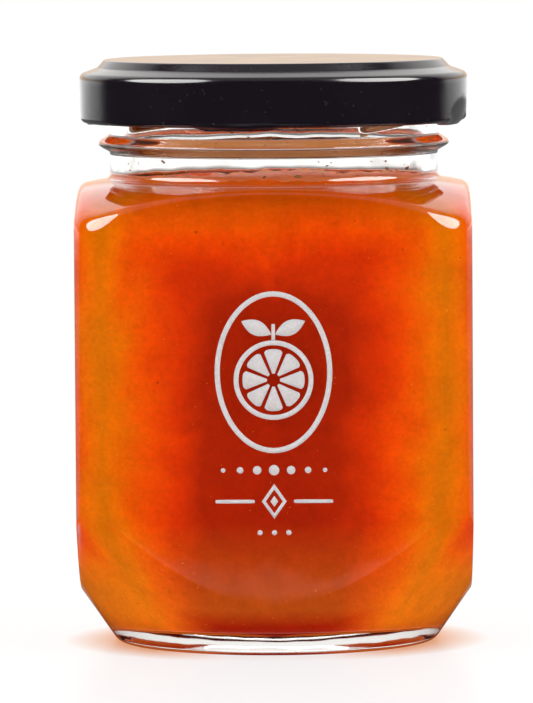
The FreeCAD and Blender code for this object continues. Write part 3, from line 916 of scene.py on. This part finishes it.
fruit_height = 43.0
frame_height = 44.2
leaf_height = 50.0
dots_height = 29.2
diamond_height = 24.4
low_dots_height = 19.6
shapes = [
    (oval(0, frame_height, 9.0, 12.4), oval(0, frame_height, 8.2, 11.6)),
    (oval(0, fruit_height, 6.1, 6.1), oval(0, fruit_height, 5.35, 5.35)),
    (leaf(0.3, leaf_height, 5.0, 1.15, np.radians(24)), None),
    (leaf(-0.3, leaf_height, 5.0, 1.15, np.radians(156)), None),
    (bar(0, leaf_height + 0.3, 0.28, 1.3), None),
    (oval(0, diamond_height, 1.9, 2.7, 4), oval(0, diamond_height, 1.3, 1.85, 4)),
    (oval(0, diamond_height, 0.6, 0.85, 4), None),
    (bar(-6.0, diamond_height, 3.0, 0.28), None),
    (bar(6.0, diamond_height, 3.0, 0.28), None),
]
shapes += [(segment(fruit_height, np.pi / 2 + wedge * np.pi / 4, np.radians(18.5), 1.0, 4.75), None)
           for wedge in range(8)]
shapes += [(oval(step * 2.6, dots_height, size, size, 24), None)
           for step, size in ((-3, 0.35), (-2, 0.5), (-1, 0.65), (0, 0.8), (1, 0.65), (2, 0.5), (3, 0.35))]
shapes += [(oval(step * 2.2, low_dots_height, 0.4, 0.4, 24), None) for step in (-1, 0, 1)]
design = plates("enamel_design", shapes)


def enamel_material():
    """Fired white enamel: chalky, thinly grained, with tiny pinholes that let the orange through."""
    material, nodes, links, output = new_material("white_enamel")
    enamel = nodes.new("ShaderNodeBsdfPrincipled")
    place = nodes.new("ShaderNodeTexCoord")
    grain = spread(nodes, links, noise(nodes, links, place, 4200, 2, 0.6), 0.3, 0.7, 0.0, 1.0)
    chalk = blend(nodes, links, grain, (0.60, 0.565, 0.575), (0.70, 0.67, 0.68))
    holes = spread(nodes, links, noise(nodes, links, place, 5200, 1, 0.5), 0.76, 0.80, 0.0, 0.55)
    links.new(blend(nodes, links, holes, chalk, (0.55, 0.16, 0.05)), enamel.inputs["Base Color"])
    enamel.inputs["Roughness"].default_value = 0.6
    enamel.inputs["Specular IOR Level"].default_value = 0.0
    links.new(enamel.outputs["BSDF"], output.inputs["Surface"])
    return material


design.data.materials.append(enamel_material())
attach(design, "root")


# ---- The specks on the neck ----
# Drops and crumbs of pulp that dried on the inside of the neck when the jar was filled and turned.
speck_count = 190
speck_size = 0.00009
speck_low = fill_level + 0.0014
speck_band = 0.0072
speck_ring = 8


def specks():
    """Many small low domes on the bore: each is an uneven ring of points with a top and a foot,
    stretched and turned at random, its foot set into the glass."""
    chance = np.random.default_rng(7)
    turn = chance.uniform(0, 2 * np.pi, speck_count)
    height = speck_low + speck_band * chance.uniform(0, 1, speck_count) ** 1.2
    size = np.clip(speck_size * np.exp(0.55 * chance.standard_normal(speck_count)), 0.00004, 0.00034)
    stretch = chance.uniform(1.0, 2.4, speck_count)
    lean = chance.uniform(-0.6, 0.6, speck_count)
    around = np.linspace(0, 2 * np.pi, speck_ring, endpoint=False)
    uneven = chance.uniform(0.7, 1.2, (speck_count, speck_ring))
    along = size[:, None] * stretch[:, None] * uneven * np.cos(around)
    across = size[:, None] * uneven * np.sin(around)
    side = along * np.cos(lean)[:, None] - across * np.sin(lean)[:, None]
    rise = along * np.sin(lean)[:, None] + across * np.cos(lean)[:, None]
    side = np.concatenate([side, np.zeros((speck_count, 2))], axis=1)
    rise = np.concatenate([rise, np.zeros((speck_count, 2))], axis=1)
    depth = np.concatenate([np.full((speck_count, speck_ring), 0.00001), -0.6 * size[:, None],
                            np.full((speck_count, 1), 0.00004)], axis=1)
    radius = bore_radius + depth
    angle = turn[:, None] + side / bore_radius
    points = np.stack([radius * np.cos(angle), radius * np.sin(angle), height[:, None] + rise], axis=-1)
    here = np.arange(speck_ring)
    after = (here + 1) % speck_ring
    top, foot = np.full(speck_ring, speck_ring), np.full(speck_ring, speck_ring + 1)
    cap = np.concatenate([np.stack([after, here, top], axis=1), np.stack([here, after, foot], axis=1)])
    first_points = (np.arange(speck_count) * (speck_ring + 2))[:, None, None]
    faces = (cap[None, :, :] + first_points).reshape(-1, 3)
    return mesh_object("neck_specks", points.reshape(-1, 3), [faces])


def speck_material():
    """Dried pulp, brown to amber."""
    material, nodes, links, output = new_material("dried_pulp")
    pulp = nodes.new("ShaderNodeBsdfPrincipled")
    place = nodes.new("ShaderNodeTexCoord")
    hue = spread(nodes, links, noise(nodes, links, place, 500), 0.35, 0.65, 0.0, 1.0)
    links.new(blend(nodes, links, hue, (0.20, 0.07, 0.015), (0.52, 0.27, 0.09)), pulp.inputs["Base Color"])
    pulp.inputs["Roughness"].default_value = 0.4
    links.new(pulp.outputs["BSDF"], output.inputs["Surface"])
    return material


neck_specks = specks()
neck_specks.data.materials.append(speck_material())
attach(neck_specks, "root")


# ---- The studio ----
# A white table and background, dim in front of the jar and bright behind it, with two soft boxes
# at the sides and one overhead.
def smooth_between(nodes, links, value, low, high):
    """1 above high, 0 below low and an S-curve between."""
    node = nodes.new("ShaderNodeMapRange")
    node.interpolation_type = "SMOOTHSTEP"
    node.inputs["From Min"].default_value = low
    node.inputs["From Max"].default_value = high
    links.new(value, node.inputs["Value"])
    return node.outputs["Result"]


def band(nodes, links, value, low, high, soft):
    """1 between low and high, fading over soft at both ends."""
    rising = smooth_between(nodes, links, value, low - soft, low + soft)
    falling = smooth_between(nodes, links, value, high - soft, high + soft)
    return math_node(nodes, links, "SUBTRACT", rising, falling)


world = bpy.data.worlds.new("studio")
bpy.context.scene.world = world
world.use_nodes = True
nodes, links = world.node_tree.nodes, world.node_tree.links
nodes.clear()
sky = nodes.new("ShaderNodeOutputWorld")
place = nodes.new("ShaderNodeTexCoord")
split = nodes.new("ShaderNodeSeparateXYZ")
links.new(place.outputs["Generated"], split.inputs["Vector"])
east, north, up = split.outputs["X"], split.outputs["Y"], split.outputs["Z"]
height_angle = math_node(nodes, links, "DEGREES", math_node(nodes, links, "ARCSINE", up))
side_angle = math_node(
    nodes, links, "DEGREES",
    math_node(nodes, links, "ABSOLUTE",
              math_node(nodes, links, "ARCTAN2", east, math_node(nodes, links, "MULTIPLY", north, -1.0))))
backdrop = math_node(
    nodes, links, "MULTIPLY",
    math_node(nodes, links, "ADD", smooth_between(nodes, links, side_angle, 118, 127),
              math_node(nodes, links, "MULTIPLY", smooth_between(nodes, links, side_angle, 128, 138), 0.55)),
    band(nodes, links, height_angle, -95, 52, 6))
overhead = math_node(
    nodes, links, "MULTIPLY", smooth_between(nodes, links, height_angle, 50, 62), 0.5)
# a round soft box at each side, seen as an oval in these two angles
across = math_node(nodes, links, "DIVIDE", math_node(nodes, links, "SUBTRACT", side_angle, 76.0), 30.0)
along = math_node(nodes, links, "DIVIDE", math_node(nodes, links, "SUBTRACT", height_angle, 36.0), 27.0)
reach = math_node(
    nodes, links, "SQRT",
    math_node(nodes, links, "ADD", math_node(nodes, links, "MULTIPLY", across, across),
              math_node(nodes, links, "MULTIPLY", along, along)))
soft_box = math_node(
    nodes, links, "MULTIPLY",
    math_node(nodes, links, "SUBTRACT", 1.0, smooth_between(nodes, links, reach, 0.94, 1.04)), 13.0)
total = math_node(nodes, links, "ADD", math_node(nodes, links, "ADD", backdrop, overhead),
                  math_node(nodes, links, "ADD", soft_box, 0.02))
path = nodes.new("ShaderNodeLightPath")


def background(nodes, links, colour, strength):
    """One Background shader; colour is a socket or a linear colour, strength a socket or a number."""
    node = nodes.new("ShaderNodeBackground")
    for name, value in (("Color", colour), ("Strength", strength)):
        if isinstance(value, tuple):
            node.inputs[name].default_value = (*value, 1)
        elif isinstance(value, float):
            node.inputs[name].default_value = value
        else:
            links.new(value, node.inputs[name])
    return node.outputs["Background"]


horizon = smooth_between(nodes, links, height_angle, 7, 13)
plain = background(nodes, links, (1, 1, 1), 0.62)
mirrored = background(
    nodes, links, blend(nodes, links, horizon, (0.76, 0.60, 0.47), (1, 0.985, 0.965)), total)
white = background(nodes, links, (1, 1, 1), 1.0)
seen = math_node(nodes, links, "MAXIMUM",
                 path.outputs["Is Camera Ray"], path.outputs["Is Transmission Ray"])
unseen = mix_shaders(nodes, links, path.outputs["Is Glossy Ray"], plain, mirrored)
links.new(mix_shaders(nodes, links, seen, unseen, white), sky.inputs["Surface"])


def table():
    """Flat white table top as one wide square, a hair below the foot of the jar."""
    reach, gap = 6.0, 0.00002
    points = np.array([[-reach, -reach, -gap], [reach, -reach, -gap],
                       [reach, reach, -gap], [-reach, reach, -gap]])
    return mesh_object("table_top", points, [np.array([[0, 1, 2, 3]])])


def table_material():
    """White satin laminate, lit nearly white near the jar, that runs out into the plain background,
    with a painted warm glow beside the foot, as light through the compote would give.

    Its mirror image in the glass is painted: dark close to the foot, as a painted shadow of the jar,
    and at the sides, a painted pool of light in front of the jar, and bright behind it.
    """
    glow_colour = (0.80, 0.34, 0.13)
    glow_start, glow_end = 0.0250, 0.0335
    patch_start, patch_middle, patch_end = 0.085, 0.130, 0.185
    material, nodes, links, output = new_material("white_laminate")
    laminate = nodes.new("ShaderNodeBsdfPrincipled")
    laminate.inputs["Roughness"].default_value = 0.3
    laminate.inputs["IOR"].default_value = 1.4
    place, split = own_place(nodes, links)
    length = nodes.new("ShaderNodeVectorMath")
    length.operation = "LENGTH"
    links.new(place.outputs["Object"], length.inputs[0])
    out = length.outputs["Value"]
    white = nodes.new("ShaderNodeEmission")
    white.inputs["Strength"].default_value = 1.0
    beside = math_node(nodes, links, "ABSOLUTE", split.outputs["X"])
    glow = math_node(nodes, links, "MULTIPLY",
                     spread(nodes, links, out, glow_start, glow_end, 0.85, 0.0),
                     spread(nodes, links, beside, 0.0080, 0.0190, 0.10, 1.0))
    links.new(blend(nodes, links, glow, (1.0, 1.0, 1.0), glow_colour), white.inputs["Color"])
    links.new(blend(nodes, links, glow, (0.93, 0.93, 0.93), glow_colour), laminate.inputs["Base Color"])
    near_white = spread(nodes, links, out, 0.03, 0.30, 0.72, 1.0)
    runs_out = mix_shaders(nodes, links, near_white, laminate.outputs["BSDF"], white.outputs["Emission"])
    path = nodes.new("ShaderNodeLightPath")
    seen = math_node(nodes, links, "MAXIMUM",
                     path.outputs["Is Camera Ray"], path.outputs["Is Transmission Ray"])
    plain = mix_shaders(nodes, links, seen, laminate.outputs["BSDF"], runs_out)
    # Painted reflection for the glass: a painted pool of light in front of the jar, painted shadow close to
    # the foot, bright behind.
    ahead = math_node(nodes, links, "MULTIPLY", split.outputs["Y"], -1.0)
    deep = math_node(nodes, links, "SUBTRACT",
                     smooth_between(nodes, links, ahead, patch_start, patch_middle),
                     smooth_between(nodes, links, ahead, patch_middle, patch_end))
    wide = math_node(nodes, links, "SUBTRACT", 1.0, smooth_between(nodes, links, beside, 0.015, 0.085))
    painted_light_pool = math_node(nodes, links, "MULTIPLY", deep, wide)
    flat = nodes.new("ShaderNodeLayerWeight")
    steep = spread(nodes, links, flat.outputs["Facing"], 0.5, 0.9, 1.0, 0.4)
    facing_away = smooth_between(
        nodes, links, math_node(nodes, links, "DIVIDE", split.outputs["Y"], out), 0.45, 0.62)
    behind = math_node(nodes, links, "MULTIPLY", facing_away,
                       spread(nodes, links, out, 1.0, 1.8, 0.22, 1.45))
    dim = nodes.new("ShaderNodeEmission")
    links.new(math_node(nodes, links, "ADD", math_node(nodes, links, "MULTIPLY", painted_light_pool, steep),
                        math_node(nodes, links, "ADD", behind, 0.02)), dim.inputs["Strength"])
    links.new(mix_shaders(nodes, links, path.outputs["Is Glossy Ray"], plain, dim.outputs["Emission"]),
              output.inputs["Surface"])
    return material


table_top = table()
table_top.data.materials.append(table_material())


def soft_lamp(name, azimuth, elevation, distance, size, power):
    """Square area lamp aimed at the middle of the jar from an azimuth and an elevation."""
    lamp = bpy.data.lights.new(name, "AREA")
    lamp.shape = "SQUARE"
    lamp.size = size
    lamp.energy = power
    holder = bpy.data.objects.new(name, lamp)
    turn, rise = np.radians(azimuth), np.radians(elevation)
    direction = Vector((np.sin(turn) * np.cos(rise), -np.cos(turn) * np.cos(rise), np.sin(rise)))
    holder.location = Vector((0, 0, rim_height / 2)) + direction * distance
    holder.rotation_euler = direction.to_track_quat("Z", "Y").to_euler()
    holder.visible_glossy = False
    bpy.context.scene.collection.objects.link(holder)


soft_lamp("left_lamp", -60, 35, 1.2, 0.8, 5)
soft_lamp("right_lamp", 60, 35, 1.2, 0.8, 5)
soft_lamp("back_lamp", 180, 50, 1.2, 0.8, 4)


# ---- The camera ----
def camera():
    """Long lens a little above the jar, aimed just below its middle and rolled a trace."""
    lens = bpy.data.cameras.new("camera")
    lens.sensor_width = 36
    lens.lens = 373.6
    lens.clip_start = 0.05
    lens.clip_end = 20
    holder = bpy.data.objects.new("camera", lens)
    distance, height = 1.142, 0.1255
    pitch, pan, roll, orbit = np.radians([4.02, 0.0675, -0.38, 0.5])
    aim = (Matrix.Rotation(orbit, 4, "Z") @ Matrix.Translation(Vector((0, -distance, height)))
           @ Matrix.Rotation(pan, 4, "Z") @ Matrix.Rotation(np.pi / 2 - pitch, 4, "X")
           @ Matrix.Rotation(roll, 4, "Z"))
    holder.matrix_world = aim
    bpy.context.scene.collection.objects.link(holder)
    bpy.context.scene.camera = holder


camera()
bpy.context.scene.view_settings.view_transform = "Standard"
